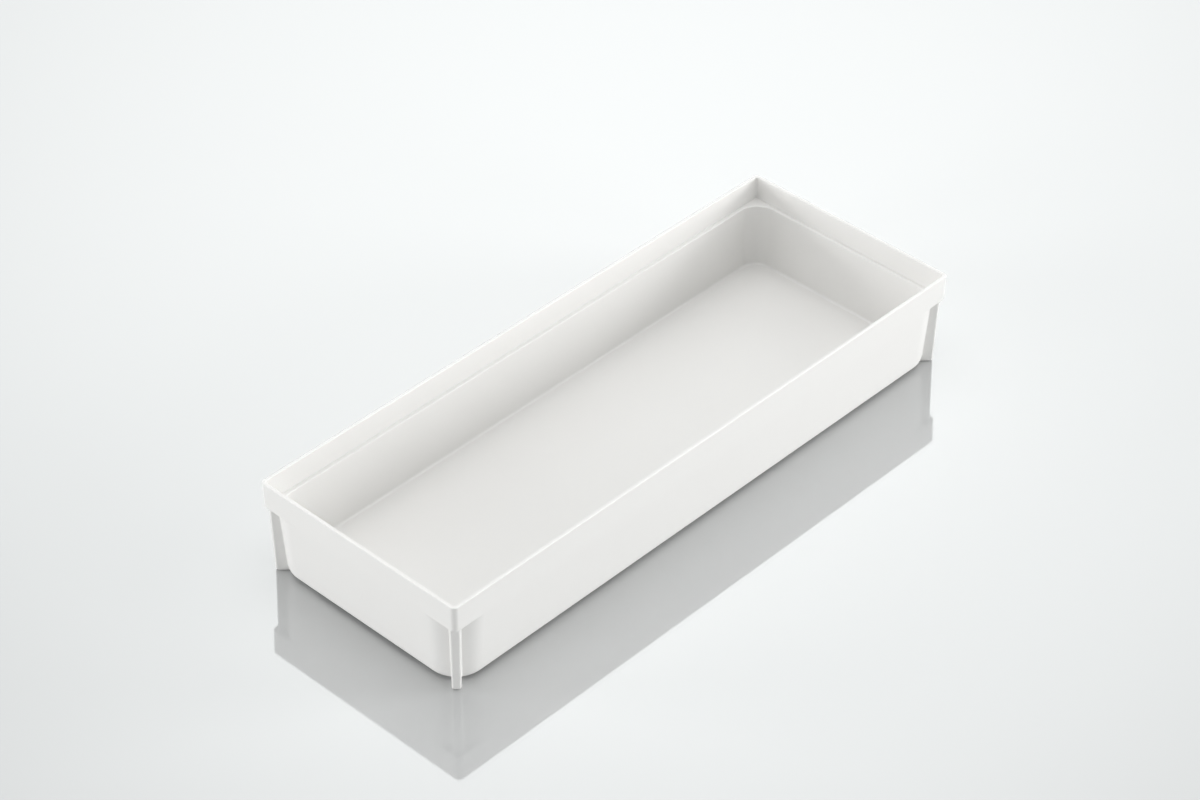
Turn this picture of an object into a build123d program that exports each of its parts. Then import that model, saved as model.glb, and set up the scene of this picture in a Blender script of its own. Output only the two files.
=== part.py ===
from build123d import *
from math import radians, sqrt, tan
import os

# A one-piece moulded drawer tray for cutlery, in millimetres.
# The long axis is X and the width is Y. Z is up, with zero at the plane the feet stand on,
# and the origin lies under the middle of the tray.
# From the top down: a deep square-cornered rim, a stacking shelf inside it, a bin with round
# corners below the shelf, and four diagonal corner fins that hang from the rim and end as feet.

# Overall sizes, over the rim
tray_length = 280.0
tray_width = 103.4
tray_height = 43.0

# Rim: the square-cornered band above the stacking shelf
rim_wall = 1.5            # thickness at the top edge
rim_depth = 10.4          # from the top edge down to the shelf
rim_draft = 1.4           # lean of the rim's outer faces, degrees
rim_corner_radius = 2.2   # outside, in plan
rim_inner_radius = 1.0    # inside, in plan
rim_edge_radius = 0.45    # rounding of the top edge
lip_edge_radius = 0.4     # rounding under the rim, open to view at the corners

# Stacking shelf: the ledge inside the rim, wide in the corners
shelf_thickness = 1.4     # web that closes each corner under the shelf
shelf_width = 1.75        # ledge along the straight walls, from the rim's inner face
shelf_edge_radius = 0.45  # rounding where the ledge drops into the bin

# Bin: the round-cornered well below the shelf
bin_corner_radius = 14.7  # outside, in plan, just under the shelf
bin_inner_radius = 9.2    # inside, in plan, at the shelf
bin_draft = 4.2           # lean of the bin's outer faces, degrees
inner_draft = 1.4         # lean of every inner face, degrees
base_clearance = 1.2      # the base stands this far above the foot plane
base_thickness = 1.8
base_edge_radius = 2.4    # outside, round the base
floor_radius = 1.2        # inside, where the walls meet the floor

# Lengthwise relief across the middle of the base
relief_width = 53.0
relief_depth = 0.5

# Corner fins
fin_thickness = 4.0       # at the lip
foot_thickness = 3.6      # at the bottom
fin_draft = 1.6           # lean of the fin's outer edge, degrees, seen along its diagonal
foot_edge_radius = 1.35   # rounding round the foot's flat
foot_length = 8.2         # along the diagonal, at the bottom
fin_root_radius = 0.6     # rounding where a fin meets the bin
stack_play = 1.0          # gap along the diagonal between a foot and the rim it stands in

# Places worked out from the sizes above
shelf_z = tray_height - rim_depth
lip_z = shelf_z - shelf_thickness
floor_z = base_clearance + base_thickness
collar_z = lip_z + 2.0 * lip_edge_radius
band_inset = (tray_height - lip_z) * tan(radians(rim_draft))
collar_inset = (tray_height - collar_z) * tan(radians(rim_draft))
rim_inner_inset = rim_wall + rim_depth * tan(radians(inner_draft))
well_inset = rim_inner_inset + shelf_width

# A point that is inset equally from both rim faces lies the root of two times as far in along
# the corner's plan diagonal, and a corner of radius r falls short by this share of r.
diagonal = sqrt(2.0)
corner_cut = diagonal - 1.0

# A foot stands on the corner shelf of the tray below, inside the corner of that tray's rim.
rim_inner_reach = rim_inner_inset * diagonal + rim_inner_radius * corner_cut
foot_tip_inset = rim_inner_reach + stack_play
fin_tip_inset = foot_tip_inset - lip_z * tan(radians(fin_draft))
fin_root_inset = foot_tip_inset + foot_length


def corner_plane(height):
    """Level plane at the rim's sharp corner, with its X axis out along the diagonal."""
    corner = (tray_length / 2.0, tray_width / 2.0, height)
    return Plane(origin=corner, x_dir=(1, 1, 0), z_dir=(0, 0, 1))


def fin_section(height, tip_inset, thickness):
    """Round-ended section of a fin, from its outer tip to its root inside the bin."""
    with BuildSketch(corner_plane(height)) as section:
        with Locations((-(tip_inset + fin_root_inset) / 2.0, 0.0)):
            SlotOverall(fin_root_inset - tip_inset, thickness)
    return section.sketch


def level_face(builder, height):
    """Widest level face of a part at a height."""
    level_faces = builder.faces().filter_by(Plane.XY)
    nearest = level_faces.group_by(lambda face: abs(face.center().Z - height))[0]
    return nearest.sort_by(SortBy.AREA)[-1]


# Corner fins, lofted from the foot up to the lip. The tip leans out and the fin thickens on
# the way up, and the foot is rounded all round its small flat.
with BuildPart() as corner_fins:
    foot_section = fin_section(0.0, foot_tip_inset, foot_thickness)
    lip_section = fin_section(lip_z, fin_tip_inset, fin_thickness)
    loft([foot_section, lip_section], ruled=True)
    fillet(corner_fins.faces().sort_by(Axis.Z)[0].edges(), foot_edge_radius)
    mirror(about=Plane.XZ)
    mirror(about=Plane.YZ)

# Bin body. Its straight walls carry on the rim's faces without a seam, so its collar reaches
# up into the band, past the rounding under the rim, with the band's own lean.
with BuildPart() as bin_body:
    with BuildSketch(Plane.XY.offset(collar_z)):
        RectangleRounded(
            tray_length - 2.0 * collar_inset,
            tray_width - 2.0 * collar_inset,
            bin_corner_radius,
        )
    extrude(amount=lip_z - collar_z, taper=rim_draft)
    with BuildSketch(Plane.XY.offset(lip_z)):
        RectangleRounded(
            tray_length - 2.0 * band_inset,
            tray_width - 2.0 * band_inset,
            bin_corner_radius - (band_inset - collar_inset),
        )
    extrude(amount=base_clearance - lip_z, taper=bin_draft)
    fillet(bin_body.faces().sort_by(Axis.Z)[0].edges(), base_edge_radius)

with BuildPart() as tray:
    # Rim band, leaning in from its top edge down to the lip
    with BuildSketch(Plane.XY.offset(tray_height)):
        RectangleRounded(tray_length, tray_width, rim_corner_radius)
    extrude(amount=lip_z - tray_height, taper=rim_draft)
    fillet(tray.faces().sort_by(Axis.Z)[0].edges(), lip_edge_radius)
    add(bin_body.part)
    # The edges that the fins make with the bin are the new ones
    add(corner_fins.part)
    fillet(tray.edges(Select.NEW), fin_root_radius)

    # Relief across the base, open at both ends
    with BuildSketch(Plane.XY.offset(base_clearance)):
        Rectangle(tray_length, relief_width)
    extrude(amount=relief_depth, mode=Mode.SUBTRACT)

    # Recess inside the rim, down to the shelf
    with BuildSketch(Plane.XY.offset(tray_height)):
        recess_length = tray_length - 2.0 * rim_wall
        recess_width = tray_width - 2.0 * rim_wall
        RectangleRounded(recess_length, recess_width, rim_inner_radius)
    extrude(amount=-rim_depth, taper=inner_draft, mode=Mode.SUBTRACT)

    # Well inside the bin, from the shelf down to the floor
    with BuildSketch(Plane.XY.offset(shelf_z)):
        well_length = tray_length - 2.0 * well_inset
        well_width = tray_width - 2.0 * well_inset
        RectangleRounded(well_length, well_width, bin_inner_radius)
    extrude(amount=floor_z - shelf_z, taper=inner_draft, mode=Mode.SUBTRACT)

    # Roundings inside, and along both edges of the rim's top
    fillet(level_face(tray, floor_z).edges(), floor_radius)
    well_edge = level_face(tray, shelf_z).inner_wires()[0].edges()
    fillet(well_edge, shelf_edge_radius)
    fillet(level_face(tray, tray_height).edges(), rim_edge_radius)

tray.part.label = "tray"

os.makedirs("parts", exist_ok=True)
export_step(tray.part, "parts/tray.step")
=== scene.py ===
"""A one-piece drawer tray for cutlery, moulded in satin polypropylene, on a glossy table.

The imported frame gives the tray's box. Every shape here is a surface worked out with numpy:
rounded-rectangle rings carried along a wall profile make the shell, and plan sections carried
up the height make the corner fins.
"""

import logging
import math
from dataclasses import dataclass
from enum import Enum

import bmesh
import bpy
import numpy as np
from mathutils import Matrix, Vector


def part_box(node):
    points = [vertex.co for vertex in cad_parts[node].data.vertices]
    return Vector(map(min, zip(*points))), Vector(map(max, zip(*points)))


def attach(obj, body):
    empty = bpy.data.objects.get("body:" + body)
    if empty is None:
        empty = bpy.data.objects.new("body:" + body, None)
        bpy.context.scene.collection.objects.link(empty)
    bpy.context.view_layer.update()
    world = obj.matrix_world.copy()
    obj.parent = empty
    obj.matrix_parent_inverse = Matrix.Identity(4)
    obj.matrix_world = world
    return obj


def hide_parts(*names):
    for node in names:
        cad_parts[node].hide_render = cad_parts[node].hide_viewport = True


logging.basicConfig(level=logging.INFO, format="%(name)s: %(message)s")
log = logging.getLogger("tray")

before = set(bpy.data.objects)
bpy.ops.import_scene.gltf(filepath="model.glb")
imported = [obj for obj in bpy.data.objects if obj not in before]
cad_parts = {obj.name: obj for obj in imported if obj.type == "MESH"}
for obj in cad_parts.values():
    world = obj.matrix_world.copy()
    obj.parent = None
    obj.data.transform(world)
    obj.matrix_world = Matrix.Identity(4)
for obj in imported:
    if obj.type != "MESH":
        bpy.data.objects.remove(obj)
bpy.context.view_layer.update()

MM = 0.001
ROOT_BODY = "root"
TRAY_NODE = "tray"
DIAGONAL = math.sqrt(2.0)
MERGE_DISTANCE = 0.002 * MM
# Edges that turn by more than this many degrees stay crisp.
CRISP_ABOVE = 38.0
# Points of a ring on each end side: a pair at each of the relief's two edges.
END_POINTS = 4


def linear_colour(hex_code: str) -> tuple[float, float, float, float]:
    """Turn an sRGB hex colour into linear RGBA.

    Args:
        hex_code: Six hex digits, with or without a leading hash.

    Returns:
        Red, green, blue and an alpha of one.
    """
    digits = hex_code.lstrip("#")
    srgb = np.array([int(digits[i:i + 2], 16) for i in (0, 2, 4)]) / 255.0
    low = srgb / 12.92
    high = ((srgb + 0.055) / 1.055) ** 2.4
    red, green, blue = np.where(srgb <= 0.04045, low, high)
    return float(red), float(green), float(blue), 1.0


def add_node(
    tree: bpy.types.NodeTree,
    kind: str,
    settings: dict[str | int, object] | None = None,
    links: dict[str | int, bpy.types.NodeSocket] | None = None,
) -> bpy.types.Node:
    """Add a shader node with its settings, socket values and incoming links.

    Args:
        tree: Node tree that receives the node.
        kind: Blender's type name of the node.
        settings: Values by name. The name or number of an input sets that input, and any
            other name sets an attribute of the node.
        links: Output sockets of other nodes, by the name or number of the input that each
            one feeds.

    Returns:
        The new node.
    """
    node = tree.nodes.new(kind)
    for name, value in (settings or {}).items():
        if isinstance(name, int) or name in node.inputs:
            node.inputs[name].default_value = value
        else:
            setattr(node, name, value)
    for name, socket in (links or {}).items():
        tree.links.new(socket, node.inputs[name])
    return node


def grid_quads(rows: int, columns: int) -> np.ndarray:
    """Quads of a grid of points, stored row by row, whose last column joins the first.

    Args:
        rows: Number of rows of points.
        columns: Number of points in each row.

    Returns:
        One quad in each row, as four point indices.
    """
    index = np.arange(rows * columns).reshape(rows, columns)
    index = np.concatenate([index, index[:, :1]], axis=1)
    corners = (index[:-1, :-1], index[:-1, 1:], index[1:, 1:], index[1:, :-1])
    return np.stack(corners, axis=-1).reshape(-1, 4)


def add_piece(
    name: str,
    points: np.ndarray,
    faces: list[list[int]],
    material: bpy.types.Material,
) -> bpy.types.Object:
    """Make a piece of the tray from points and faces, and let it ride the tray's body.

    Doubles are merged, faces are turned outwards, and the shading keeps flat faces flat.

    Args:
        name: Name of the piece.
        points: Positions in metres, one row each.
        faces: Point indices of each face.
        material: Material of every face.

    Returns:
        The finished object, at the origin.
    """
    mesh = bpy.data.meshes.new(name)
    mesh.from_pydata(points.tolist(), [], faces)
    cleaner = bmesh.new()
    cleaner.from_mesh(mesh)
    bmesh.ops.remove_doubles(cleaner, verts=cleaner.verts, dist=MERGE_DISTANCE)
    bmesh.ops.dissolve_degenerate(cleaner, edges=cleaner.edges, dist=MERGE_DISTANCE)
    bmesh.ops.recalc_face_normals(cleaner, faces=cleaner.faces)
    cleaner.to_mesh(mesh)
    cleaner.free()
    mesh.materials.clear()
    mesh.materials.append(material)
    mesh.shade_smooth()
    mesh.set_sharp_from_angle(angle=math.radians(CRISP_ABOVE))
    piece = bpy.data.objects.new(name, mesh)
    bpy.context.scene.collection.objects.link(piece)
    weighting = piece.modifiers.new("flat_faces_stay_flat", "WEIGHTED_NORMAL")
    weighting.keep_sharp = True
    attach(piece, ROOT_BODY)
    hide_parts(TRAY_NODE)
    log.info("%s: %d faces", name, len(mesh.polygons))
    return piece


class Polish(Enum):
    """How smooth a surface is left, by its mould or by polishing, as roughness."""

    SATIN = 0.42
    GLOSS = 0.05


@dataclass(frozen=True)
class MouldedPolypropylene:
    """Injection-moulded polypropylene, filled warm white, from a fine-spark mould.

    The eye gets an even off-white with a soft sheen, a very fine grain that breaks up the
    highlights, and slow waves where the thin walls have cooled unevenly.

    Attributes:
        colour: sRGB hex colour of the plastic.
        polish: Finish of the mould.
        ior: Refractive index of polypropylene.
        grain_mm: Grain of the mould face. The real one is near 0.05 mm, which is too fine to
            show, so it is drawn coarser.
        grain_height_mm: Depth of the grain.
        sink_mm: Width of the slow waves.
        sink_height_mm: Depth of the slow waves.
        roughness_spread: How much rougher or smoother the slow waves make the surface.
    """

    colour: str = "#EDECEA"
    polish: Polish = Polish.SATIN
    ior: float = 1.49
    grain_mm: float = 0.35
    grain_height_mm: float = 0.004
    sink_mm: float = 55.0
    sink_height_mm: float = 0.05
    roughness_spread: float = 0.03

    def material(self) -> bpy.types.Material:
        """Build the material.

        Returns:
            A node material named for the plastic and its process.
        """
        made = bpy.data.materials.new("moulded_polypropylene_satin_white")
        made.use_nodes = True
        tree = made.node_tree
        shader = tree.nodes["Principled BSDF"]
        shader.inputs["Base Color"].default_value = linear_colour(self.colour)
        shader.inputs["IOR"].default_value = self.ior
        place = add_node(tree, "ShaderNodeTexCoord").outputs["Object"]
        grain = add_node(
            tree,
            "ShaderNodeTexNoise",
            {"Scale": 1.0 / (self.grain_mm * MM), "Detail": 2.0},
            {"Vector": place},
        )
        sink = add_node(
            tree,
            "ShaderNodeTexNoise",
            {"Scale": 1.0 / (self.sink_mm * MM), "Detail": 1.0},
            {"Vector": place},
        )
        waves = add_node(
            tree,
            "ShaderNodeBump",
            {"Distance": self.sink_height_mm * MM, "Strength": 1.0},
            {"Height": sink.outputs["Fac"]},
        )
        bump = add_node(
            tree,
            "ShaderNodeBump",
            {"Distance": self.grain_height_mm * MM, "Strength": 1.0},
            {"Height": grain.outputs["Fac"], "Normal": waves.outputs["Normal"]},
        )
        smoothest = self.polish.value - self.roughness_spread
        roughest = self.polish.value + self.roughness_spread
        roughness = add_node(
            tree,
            "ShaderNodeMapRange",
            {"To Min": smoothest, "To Max": roughest},
            {"Value": sink.outputs["Fac"]},
        )
        tree.links.new(roughness.outputs["Result"], shader.inputs["Roughness"])
        tree.links.new(bump.outputs["Normal"], shader.inputs["Normal"])
        return made


@dataclass
class Outline:
    """The tray's plan, from which every ring takes its place.

    Attributes:
        half_length: Half the length over the rim, in metres.
        half_width: Half the width over the rim, in metres.
        arc_points: Points on each corner arc of a ring.
        corner_span: Length of side that belongs to each corner, from the sharp corner.
        relief_half: Half the width of the relief, where each end side has two pairs of points.
    """

    half_length: float
    half_width: float
    arc_points: int = 25
    corner_span: float = 15.2 * MM
    relief_half: float = 26.5 * MM

    @property
    def corner_points(self) -> int:
        """Points of a ring that belong to one corner."""
        return self.arc_points + 2

    @property
    def half_points(self) -> int:
        """Points of half a ring, which is also the number of the left end side's first point."""
        return END_POINTS + 2 * self.corner_points

    def ring(self, inset: float, radius: float, height: float) -> np.ndarray:
        """One rounded-rectangle ring.

        It starts on the right end side with two pairs of points, at the relief's two edges,
        and has the same on the left end side. In each corner the first and last points lie on
        the sides, at the corner span, and the points between them run round the arc, whose
        centre is inset by the inset and the radius from both sides.

        Args:
            inset: Distance in from the rim's faces.
            radius: Corner radius.
            height: Height of the ring.

        Returns:
            Array of points and coordinates, anticlockwise from above.
        """
        half_x = self.half_length - inset
        half_y = self.half_width - inset
        turn = np.linspace(0.0, np.pi / 2.0, self.arc_points)
        arc_x = half_x - radius + radius * np.cos(turn)
        arc_y = half_y - radius + radius * np.sin(turn)
        start = (half_x, self.half_width - self.corner_span)
        end = (self.half_length - self.corner_span, half_y)
        corner_x = np.concatenate([[start[0]], arc_x, [end[0]]])
        corner_y = np.concatenate([[start[1]], arc_y, [end[1]]])
        side_x = np.full(END_POINTS, half_x)
        side_y = self.relief_half * np.array([-1.0, -1.0, 1.0, 1.0])
        plan_x = [side_x, corner_x, -corner_x[::-1], -side_x, -corner_x, corner_x[::-1]]
        plan_y = [side_y, corner_y, corner_y[::-1], -side_y, -corner_y, -corner_y[::-1]]
        level = np.full(2 * self.half_points, height)
        return np.stack([np.concatenate(plan_x), np.concatenate(plan_y), level], axis=-1)


def lean(angle: float, drop: float) -> float:
    """How far a face that leans by an angle in degrees moves in over a drop."""
    return drop * math.tan(math.radians(angle))


def rounding(radius: float, turn: np.ndarray) -> tuple[np.ndarray, np.ndarray]:
    """A quarter circle that starts along a wall and ends along the floor it meets.

    Args:
        radius: Radius of the circle.
        turn: Angles from zero at the wall to a right angle at the floor.

    Returns:
        Distance in from the wall and distance up from the floor, at each angle.
    """
    return radius * (1.0 - np.cos(turn)), radius * (1.0 - np.sin(turn))


@dataclass
class TrayShell:
    """Rim, stacking shelf and bin: one wall profile carried round the plan.

    Attributes:
        outline: The tray's plan.
        height: Top of the rim above the feet.
        material: Material of the shell.
        rim_wall: Thickness of the rim at its top edge.
        rim_depth: Depth from the rim's top to the shelf.
        rim_draft: Lean of the rim's outer faces, degrees.
        rim_corner: Outer corner radius of the rim.
        rim_inner_corner: Inner corner radius of the rim.
        rim_edge: Rounding of the rim's top edge.
        lip_edge: Rounding under the rim at the corners.
        shelf_thickness: Thickness of the shelf in the corners.
        shelf_width: Width of the shelf along the walls.
        shelf_edge: Rounding where the shelf drops into the bin.
        bin_corner: Outer corner radius of the bin, under the shelf.
        bin_inner_corner: Inner corner radius of the bin, at the shelf.
        bin_draft: Lean of the bin's outer faces, degrees.
        inner_draft: Lean of every inner face, degrees.
        base_clearance: Height of the base above the feet.
        base_thickness: Thickness of the base.
        base_edge: Rounding round the base.
        floor_edge: Rounding where the walls meet the floor.
        relief_depth: Depth of the lengthwise relief under the base.
        edge_steps: Rings on each small rounding.
    """

    outline: Outline
    height: float
    material: bpy.types.Material
    rim_wall: float = 1.5 * MM
    rim_depth: float = 10.4 * MM
    rim_draft: float = 1.4
    rim_corner: float = 2.2 * MM
    rim_inner_corner: float = 1.0 * MM
    rim_edge: float = 0.45 * MM
    lip_edge: float = 0.4 * MM
    shelf_thickness: float = 1.4 * MM
    shelf_width: float = 1.75 * MM
    shelf_edge: float = 0.45 * MM
    bin_corner: float = 14.7 * MM
    bin_inner_corner: float = 9.2 * MM
    bin_draft: float = 4.2
    inner_draft: float = 1.4
    base_clearance: float = 1.2 * MM
    base_thickness: float = 1.8 * MM
    base_edge: float = 2.4 * MM
    floor_edge: float = 1.2 * MM
    relief_depth: float = 0.5 * MM
    edge_steps: int = 7

    @property
    def shelf_z(self) -> float:
        """Height of the shelf."""
        return self.height - self.rim_depth

    @property
    def lip_z(self) -> float:
        """Height of the lip, where the corners open under the shelf."""
        return self.shelf_z - self.shelf_thickness

    @property
    def floor_z(self) -> float:
        """Height of the floor inside the bin."""
        return self.base_clearance + self.base_thickness

    @property
    def lip_inset(self) -> float:
        """Inset of the outer faces at the lip."""
        return lean(self.rim_draft, self.height - self.lip_z)

    def bin_section(self, height: float) -> tuple[float, float]:
        """Inset and corner radius of the bin's outer faces.

        The inset grows with the draft below the lip. In the base rounding it grows as a
        quarter circle as well. The corner radius shrinks by as much, so that the corner's
        centre stays on one upright line.

        Args:
            height: Height between the base and the lip. A lower one counts as the base.

        Returns:
            Inset and corner radius.
        """
        above_base = min(max(height - self.base_clearance, 0.0), self.base_edge)
        to_wall = self.base_edge - above_base
        inset = self.lip_inset + lean(self.bin_draft, self.lip_z - height)
        inset += self.base_edge - math.sqrt(self.base_edge**2 - to_wall**2)
        return inset, self.bin_corner - (inset - self.lip_inset)

    def outer_rings(self) -> list[np.ndarray]:
        """Rings from the edge of the base, up the outside, to the rim's top.

        Each inset is a draft's lean at that height, and in a rounding it also moves in by the
        distance of a quarter circle from its wall.

        Returns:
            Rings in order, from the lowest up.
        """
        turn = np.linspace(np.pi / 2.0, 0.0, self.edge_steps)
        _, up = rounding(self.base_edge, turn)
        rings = []
        for height in np.concatenate([self.base_clearance + up, [self.lip_z]]):
            rings.append(self.bin_ring(height))
        for away, above in zip(*rounding(self.lip_edge, turn)):
            inset = self.lip_inset - lean(self.rim_draft, above) + away
            rings.append(self.lip_ring(inset, self.rim_corner - away, self.lip_z + above))
        for away, below in zip(*rounding(self.rim_edge, turn[::-1])):
            inset = lean(self.rim_draft, below) + away
            rings.append(self.outline.ring(inset, self.rim_corner - away, self.height - below))
        return rings

    def bin_ring(self, height: float) -> np.ndarray:
        """Ring of the bin's outer face, with the relief's notch in its two end sides.

        The inner point of each pair at the relief's edges is never lower than the relief, and
        takes the inset that the bin has at its own height. So each pair is a step.

        Args:
            height: Height of the ring.

        Returns:
            The ring's points.
        """
        inset, radius = self.bin_section(height)
        ring = self.outline.ring(inset, radius, height)
        relief_z = max(height, self.base_clearance + self.relief_depth)
        relief_x = self.outline.half_length - self.bin_section(relief_z)[0]
        left = self.outline.half_points
        keep_y = np.array([0.0, 1.0, 0.0])
        ring[1:3] = ring[1:3] * keep_y + [relief_x, 0.0, relief_z]
        ring[left + 1:left + 3] = ring[left + 1:left + 3] * keep_y + [-relief_x, 0.0, relief_z]
        return ring

    def base_faces(self) -> list[list[int]]:
        """Faces under the base: a land on each side, the relief and its two steps.

        Returns:
            Point numbers of each face, all of them on the lowest ring.
        """
        left = self.outline.half_points
        north = [3, *range(END_POINTS, left), left]
        south = [left + 3, *range(left + END_POINTS, 2 * left), 0]
        relief = [1, 2, left + 1, left + 2]
        north_step = [2, 3, left, left + 1]
        south_step = [0, 1, left + 2, left + 3]
        return [north, south, relief, north_step, south_step]

    def lip_ring(self, inset: float, radius: float, height: float) -> np.ndarray:
        """Ring under the rim, whose rounding shows only where the bin's corner falls away.

        Along the straight walls the bin carries on the rim's face, so there the ring takes
        the face's own inset. From the corner span on, it blends to the rounding's inset, in
        proportion to the distance, over four times the rounding's radius.

        Args:
            inset: Inset of the rounding.
            radius: Corner radius of the rounding.
            height: Height of the ring.

        Returns:
            The ring's points.
        """
        rounded = self.outline.ring(inset, radius, height)
        flush_inset = lean(self.rim_draft, self.height - height)
        flush = self.outline.ring(flush_inset, self.rim_corner, height)
        corner_x = self.outline.half_length - self.outline.corner_span
        corner_y = self.outline.half_width - self.outline.corner_span
        blend = 4.0 * self.lip_edge
        share_x = np.clip((np.abs(flush[:, 0]) - corner_x) / blend, 0.0, 1.0)
        share_y = np.clip((np.abs(flush[:, 1]) - corner_y) / blend, 0.0, 1.0)
        share = np.minimum(share_x, share_y)[:, None]
        return flush * (1.0 - share) + rounded * share

    def inner_rings(self) -> list[np.ndarray]:
        """Rings from the rim's top, down the inside, to the floor.

        Each inset is a draft's lean at that depth. In the rim's and the shelf's roundings the
        wall moves back out by the distance of a quarter circle from it, and in the floor's
        rounding it moves further in.

        Returns:
            Rings in order, from the highest down.
        """
        turn = np.linspace(0.0, np.pi / 2.0, self.edge_steps)
        rings = []
        for away, below in zip(*rounding(self.rim_edge, turn[::-1])):
            inset = self.rim_wall + lean(self.inner_draft, below) - away
            corner = self.rim_inner_corner + away
            rings.append(self.outline.ring(inset, corner, self.height - below))
        rim_lean = lean(self.inner_draft, self.rim_depth)
        rim_inset = self.rim_wall + rim_lean
        corner = self.rim_inner_corner - rim_lean
        rings.append(self.outline.ring(rim_inset, corner, self.shelf_z))
        well_inset = rim_inset + self.shelf_width
        for away, below in zip(*rounding(self.shelf_edge, turn[::-1])):
            drawn_in = lean(self.inner_draft, below) - away
            corner = self.bin_inner_corner - drawn_in
            rings.append(self.outline.ring(well_inset + drawn_in, corner, self.shelf_z - below))
        depth = self.shelf_z - self.floor_z
        for away, above in zip(*rounding(self.floor_edge, turn)):
            drawn_in = lean(self.inner_draft, depth - above) + away
            corner = self.bin_inner_corner - drawn_in
            rings.append(self.outline.ring(well_inset + drawn_in, corner, self.floor_z + above))
        return rings

    def build(self) -> bpy.types.Object:
        """Build and dress the shell.

        Returns:
            The shell's object.
        """
        rings = np.stack(self.outer_rings() + self.inner_rings())
        rows, columns, _ = rings.shape
        floor = list(range((rows - 1) * columns, rows * columns))
        faces = grid_quads(rows, columns).tolist() + self.base_faces() + [floor]
        return add_piece("tray_shell", rings.reshape(-1, 3), faces, self.material)


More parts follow.
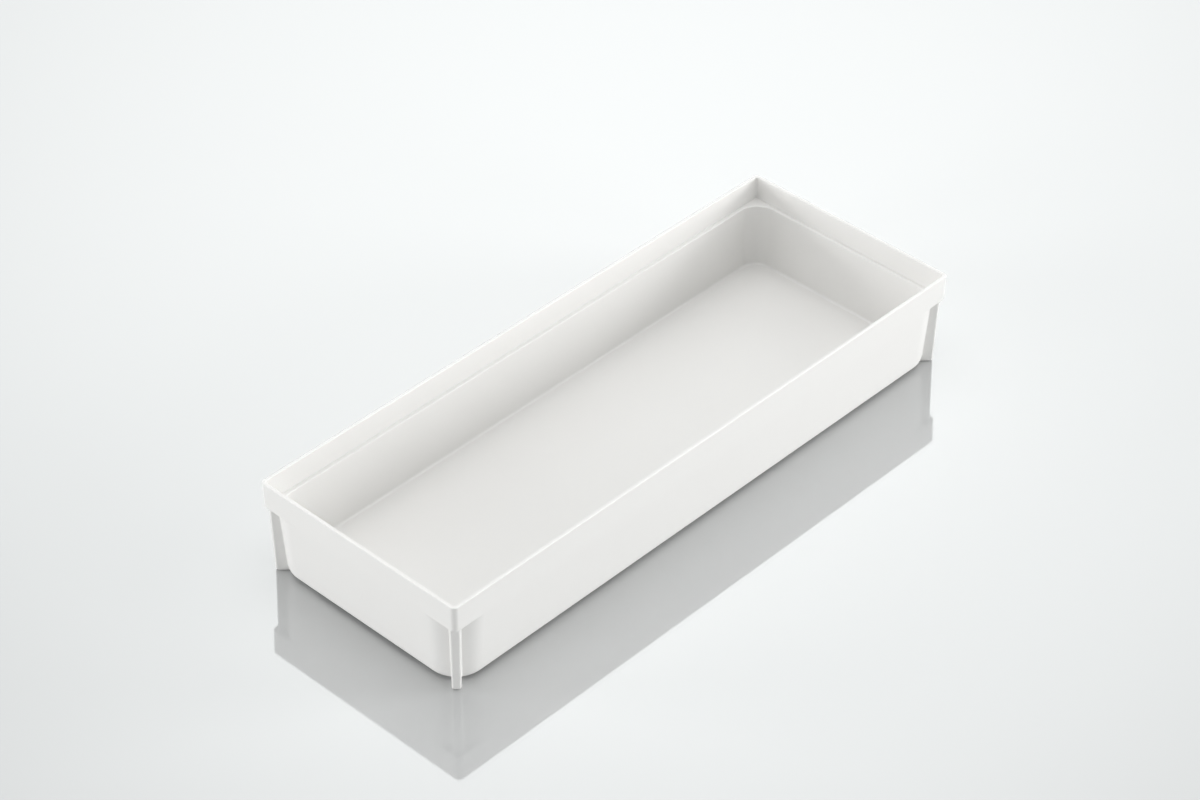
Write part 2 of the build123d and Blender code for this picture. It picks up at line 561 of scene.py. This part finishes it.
@dataclass
class CornerFins:
    """Four diagonal fins that hang from the lip, grow out of the bin and end as feet.

    Attributes:
        shell: The shell that carries them.
        material: Material of the fins.
        thickness: Thickness at the lip.
        foot_thickness: Thickness at the foot.
        tip_inset: Distance of the foot's tip from the rim's sharp corner, along the diagonal.
        draft: Lean of the outer edge, degrees.
        nose_edge: Rounding of the outer end's two upright edges.
        foot_edge: Rounding round the foot's flat.
        foot_length: Length of the foot along the diagonal.
        root_radius: Rounding where a fin meets the bin or the lip.
        hidden: How far a fin's parts reach into the shell, where nothing shows.
        arc_points: Points on each quarter circle of a section.
        ring_steps: Heights on the foot's rounding and on the base's.
    """

    shell: TrayShell
    material: bpy.types.Material
    thickness: float = 4.0 * MM
    foot_thickness: float = 3.6 * MM
    tip_inset: float = 3.9 * MM
    draft: float = 1.6
    nose_edge: float = 0.9 * MM
    foot_edge: float = 1.35 * MM
    foot_length: float = 8.2 * MM
    root_radius: float = 0.6 * MM
    hidden: float = 0.3 * MM
    arc_points: int = 13
    ring_steps: int = 9

    @property
    def bin_centre(self) -> float:
        """Inset of the bin's corner centre from both of the rim's faces."""
        return self.shell.lip_inset + self.shell.bin_corner

    def section(self, height: float) -> np.ndarray:
        """Plan section of one fin, with its first axis out along the diagonal.

        The origin is the bin's corner centre. The tip is flat between two quarter circles.
        Above the base each side runs back from it and turns out along a small hollow circle,
        which touches both the side and the bin's round corner, and ends inside the bin's
        wall. Below the base the root is half a circle. Near the foot's flat the section
        shrinks, and near the lip it grows, by a quarter circle.

        Args:
            height: Height of the section.

        Returns:
            Points round the section, as rows of two coordinates.
        """
        lip_z = self.shell.lip_z
        share = min(height / lip_z, 1.0)
        half = 0.5 * (self.foot_thickness + share * (self.thickness - self.foot_thickness))
        tip = self.bin_centre * DIAGONAL - self.tip_inset + lean(self.draft, min(height, lip_z))
        root = self.bin_centre * DIAGONAL - self.tip_inset - self.foot_length
        grow = self.flare(lip_z - height, self.root_radius)
        grow -= self.flare(height, self.foot_edge)
        half, tip, root = half + grow, tip + grow, root - grow
        turn = np.linspace(-np.pi / 2.0, np.pi / 2.0, 2 * self.arc_points)
        edge = min(self.nose_edge, half)
        across = edge * np.sin(turn) + np.sign(turn) * (half - edge)
        nose = np.stack([tip - edge + edge * np.cos(turn), across], axis=-1)
        if height < self.shell.base_clearance + self.hidden:
            back = np.linspace(np.pi / 2.0, np.pi, self.arc_points)
            side = np.stack([root + half + half * np.cos(back), half * np.sin(back)], axis=-1)
        else:
            side = self.hollow(self.shell.bin_section(height)[1], half)
        mirrored = side[::-1] * [1.0, -1.0]
        return np.concatenate([nose, side, mirrored])

    def hollow(self, radius: float, half: float) -> np.ndarray:
        """Hollow rounding between a fin's side and the bin's round corner.

        Its centre is the rounding's radius away from the side and from the bin's arc. It
        runs from its touching point on the side to the one on the arc, and ends a little
        way in through the wall.

        Args:
            radius: The bin's corner radius at this height.
            half: Half the fin's thickness at this height.

        Returns:
            Points of the rounding, as rows of two coordinates.
        """
        across = half + self.root_radius
        reach = math.sqrt((radius + self.root_radius) ** 2 - across**2)
        bearing = math.atan2(across, reach)
        turn = np.linspace(1.5 * np.pi, np.pi + bearing, self.arc_points - 1)
        arc_out = reach + self.root_radius * np.cos(turn)
        arc_across = across + self.root_radius * np.sin(turn)
        inside = (radius - self.hidden) * np.array([math.cos(bearing), math.sin(bearing)])
        return np.concatenate([np.stack([arc_out, arc_across], axis=-1), inside[None, :]])

    @staticmethod
    def flare(distance: float, radius: float) -> float:
        """How far a quarter circle has moved from its wall at a distance from its floor."""
        to_wall = radius - min(max(distance, 0.0), radius)
        return radius - math.sqrt(radius**2 - to_wall**2)

    def heights(self) -> np.ndarray:
        """Heights of the sections, close together where the shape turns.

        On a rounding they rise as one less the cosine of even steps of a quarter turn. The
        root's half circle ends just under the place where the hollow begins, so close that the
        points which both sections share become one.

        Returns:
            Heights from the foot's flat to a little way in through the lip.
        """
        shell = self.shell
        turn = np.linspace(0.0, np.pi / 2.0, self.ring_steps)
        foot = self.foot_edge * (1.0 - np.cos(turn))
        root_z = shell.base_clearance + self.hidden
        base = root_z + (shell.base_edge - self.hidden) * (1.0 - np.cos(turn))
        head = shell.lip_z - self.root_radius * np.cos(turn[::2])
        below_base = [root_z - 0.5 * MERGE_DISTANCE]
        above_lip = [shell.lip_z + self.hidden]
        return np.concatenate([foot, below_base, base, head, above_lip])

    def build(self) -> bpy.types.Object:
        """Build and dress the four fins.

        Returns:
            The fins' object.
        """
        heights = self.heights()
        sections = np.stack([self.section(height) for height in heights])
        out, across = sections[..., 0] / DIAGONAL, sections[..., 1] / DIAGONAL
        level = np.broadcast_to(heights[:, None], out.shape)
        corner_x = self.shell.outline.half_length - self.bin_centre
        corner_y = self.shell.outline.half_width - self.bin_centre
        rows, columns = level.shape
        one_fin = grid_quads(rows, columns).tolist()
        one_fin += [list(range(columns)), list(range((rows - 1) * columns, rows * columns))]
        points: list[np.ndarray] = []
        faces: list[list[int]] = []
        for side_x, side_y in ((1, 1), (-1, 1), (-1, -1), (1, -1)):
            plan = (side_x * (corner_x + out - across), side_y * (corner_y + out + across))
            start = len(points) * rows * columns
            faces += [[start + index for index in face] for face in one_fin]
            points.append(np.stack([*plan, level], axis=-1).reshape(-1, 3))
        return add_piece("corner_fins", np.concatenate(points), faces, self.material)


@dataclass(frozen=True)
class GlossyTable:
    """A polished white table that mirrors the tray and the bright room round it.

    Attributes:
        colour: sRGB hex colour of the table's body.
        mirror_share: Share of the light that comes back as a mirror image.
        half_size: Half the side of the square that stands for the table, in metres.
    """

    colour: str = "#BEBFBF"
    mirror_share: float = 0.12
    half_size: float = 3.0

    def build(self) -> bpy.types.Object:
        """Build the table.

        Returns:
            The table's object.
        """
        made = bpy.data.materials.new("polished_white_acrylic_table")
        made.use_nodes = True
        tree = made.node_tree
        tree.nodes.remove(tree.nodes["Principled BSDF"])
        body = add_node(tree, "ShaderNodeBsdfDiffuse", {"Color": linear_colour(self.colour)})
        mirror = add_node(
            tree,
            "ShaderNodeBsdfAnisotropic",
            {"Color": (1.0, 1.0, 1.0, 1.0), "Roughness": Polish.GLOSS.value},
        )
        mix = add_node(tree, "ShaderNodeMixShader", {"Fac": self.mirror_share})
        tree.links.new(body.outputs[0], mix.inputs[1])
        tree.links.new(mirror.outputs[0], mix.inputs[2])
        tree.links.new(mix.outputs[0], tree.nodes["Material Output"].inputs["Surface"])
        mesh = bpy.data.meshes.new("table_top")
        side = self.half_size
        corners = [(-side, -side, 0.0), (side, -side, 0.0), (side, side, 0.0), (-side, side, 0.0)]
        mesh.from_pydata(corners, [], [(0, 1, 2, 3)])
        mesh.materials.append(made)
        table = bpy.data.objects.new("table_top", mesh)
        bpy.context.scene.collection.objects.link(table)
        return table


@dataclass(frozen=True)
class Softbox:
    """A square lamp that faces the tray and doesn't show in the mirror of the table.

    Attributes:
        name: Name of the lamp.
        place: Where its middle hangs, in metres.
        side: Length of its side, in metres.
        watts: Power.
        colour: sRGB hex colour of its light.
    """

    name: str
    place: tuple[float, float, float]
    side: float
    watts: float
    colour: str = "#FFFFFF"

    def build(self) -> bpy.types.Object:
        """Hang the lamp.

        Returns:
            The lamp's object.
        """
        lamp = bpy.data.lights.new(self.name, "AREA")
        lamp.shape = "SQUARE"
        lamp.size = self.side
        lamp.energy = self.watts
        lamp.color = linear_colour(self.colour)[:3]
        hung = bpy.data.objects.new(self.name, lamp)
        hung.location = self.place
        hung.visible_glossy = False
        towards_tray = -Vector(self.place)
        hung.rotation_euler = towards_tray.to_track_quat("-Z", "Y").to_euler()
        bpy.context.scene.collection.objects.link(hung)
        return hung


@dataclass(frozen=True)
class Room:
    """The pale room round the table, which lights it evenly and shows in its gloss.

    Behind the tray the backdrop glows. The glow fades with the angle t from its middle as
    the cosine of t does, from its peak down to the strength of the rest of the room.

    Attributes:
        colour: sRGB hex colour of the room.
        ambient: Strength of the room's light on surfaces.
        seen_in_gloss: Strength of the room where a mirror face shows it.
        glow_peak: Strength of the middle of the glow where a mirror face shows it.
        glow_bearing: Bearing of the glow's middle from the X axis, in degrees.
        glow_elevation: Height of the glow's middle over the table's plane, in degrees.
        glow_spread: Angle from the glow's middle to its end, in degrees.
    """

    colour: str = "#FCFFFF"
    ambient: float = 0.3
    seen_in_gloss: float = 2.1
    glow_peak: float = 4.4
    glow_bearing: float = 43.0
    glow_elevation: float = 33.0
    glow_spread: float = 17.0

    def glow_direction(self) -> tuple[float, float, float]:
        """Direction from the tray to the middle of the glow.

        Returns:
            Cosines of the direction on the three axes.
        """
        bearing = math.radians(self.glow_bearing)
        elevation = math.radians(self.glow_elevation)
        level = math.cos(elevation)
        return level * math.cos(bearing), level * math.sin(bearing), math.sin(elevation)

    def build(self) -> bpy.types.World:
        """Build the world.

        Returns:
            The world.
        """
        world = bpy.data.worlds.new("pale_room")
        world.use_nodes = True
        tree = world.node_tree
        looking = add_node(tree, "ShaderNodeTexCoord")
        towards_glow = add_node(
            tree,
            "ShaderNodeVectorMath",
            {"operation": "DOT_PRODUCT", 1: self.glow_direction()},
            {0: looking.outputs["Generated"]},
        )
        glow = add_node(
            tree,
            "ShaderNodeMapRange",
            {
                "From Min": math.cos(math.radians(self.glow_spread)),
                "To Min": self.seen_in_gloss,
                "To Max": self.glow_peak,
            },
            {"Value": towards_glow.outputs["Value"]},
        )
        # Only a path that has met no matt surface sees the gloss strengths, so the glow shows
        # in glossy faces and lights nothing.
        path = add_node(tree, "ShaderNodeLightPath")
        before_matt = add_node(
            tree,
            "ShaderNodeMath",
            {"operation": "LESS_THAN", 1: 0.5},
            {0: path.outputs["Diffuse Depth"]},
        )
        mirrored = add_node(
            tree,
            "ShaderNodeMath",
            {"operation": "MULTIPLY"},
            {0: path.outputs["Is Glossy Ray"], 1: before_matt.outputs["Value"]},
        )
        strength = add_node(
            tree,
            "ShaderNodeMapRange",
            {"To Min": self.ambient},
            {"Value": mirrored.outputs["Value"], "To Max": glow.outputs["Result"]},
        )
        background = tree.nodes["Background"]
        background.inputs["Color"].default_value = linear_colour(self.colour)
        tree.links.new(strength.outputs["Result"], background.inputs["Strength"])
        bpy.context.scene.world = world
        return world


@dataclass(frozen=True)
class StudioCamera:
    """The camera that the photograph was taken with, solved from the tray's corners.

    Attributes:
        eye_mm: Place of the lens, in millimetres from the tray's origin.
        forward: Direction of view.
        right: Direction of the picture's right edge.
        lens_mm: Focal length on a sensor 36 mm wide.
    """

    eye_mm: tuple[float, float, float] = (-754.2, -701.2, 846.9)
    forward: tuple[float, float, float] = (0.57024, 0.53727, -0.62143)
    right: tuple[float, float, float] = (0.68853, -0.72519, 0.00483)
    lens_mm: float = 100.93

    def build(self) -> bpy.types.Object:
        """Place the camera and make it the scene's own.

        Returns:
            The camera's object.
        """
        forward = Vector(self.forward).normalized()
        right = Vector(self.right).normalized()
        up = right.cross(forward).normalized()
        right = forward.cross(up)
        lens = bpy.data.cameras.new("studio_camera")
        lens.lens = self.lens_mm
        camera = bpy.data.objects.new("studio_camera", lens)
        turned = Matrix((right, up, -forward)).transposed().to_4x4()
        camera.matrix_world = Matrix.Translation(Vector(self.eye_mm) * MM) @ turned
        bpy.context.scene.collection.objects.link(camera)
        bpy.context.scene.camera = camera
        return camera


def main() -> None:
    """Build the tray, its table, its light and the camera."""
    low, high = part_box(TRAY_NODE)
    plastic = MouldedPolypropylene().material()
    outline = Outline(half_length=high.x, half_width=high.y)
    shell = TrayShell(outline=outline, height=high.z, material=plastic)
    shell.build()
    CornerFins(shell=shell, material=plastic).build()
    log.info("tray: %.1f by %.1f by %.1f mm", *[(high[i] - low[i]) / MM for i in range(3)])
    GlossyTable().build()
    Room().build()
    for softbox in (
        Softbox("top_softbox", (0.1, 0.1, 1.6), side=1.6, watts=14.0),
        Softbox("left_softbox", (-1.6, 0.3, 0.32), side=0.6, watts=7.0),
        Softbox("left_back_softbox", (-1.2, 1.3, 0.32), side=0.6, watts=12.5),
        Softbox("right_softbox", (0.3, -1.6, 0.32), side=0.6, watts=5.8),
        Softbox("right_back_softbox", (1.3, -1.2, 0.32), side=0.6, watts=14.0),
        Softbox("high_right_softbox", (1.3, -1.2, 0.8), side=1.2, watts=6.5),
    ):
        softbox.build()
        log.info("lamp: %s", softbox.name)
    StudioCamera().build()
    bpy.context.scene.view_settings.view_transform = "Standard"


if __name__ == "__main__":
    main()
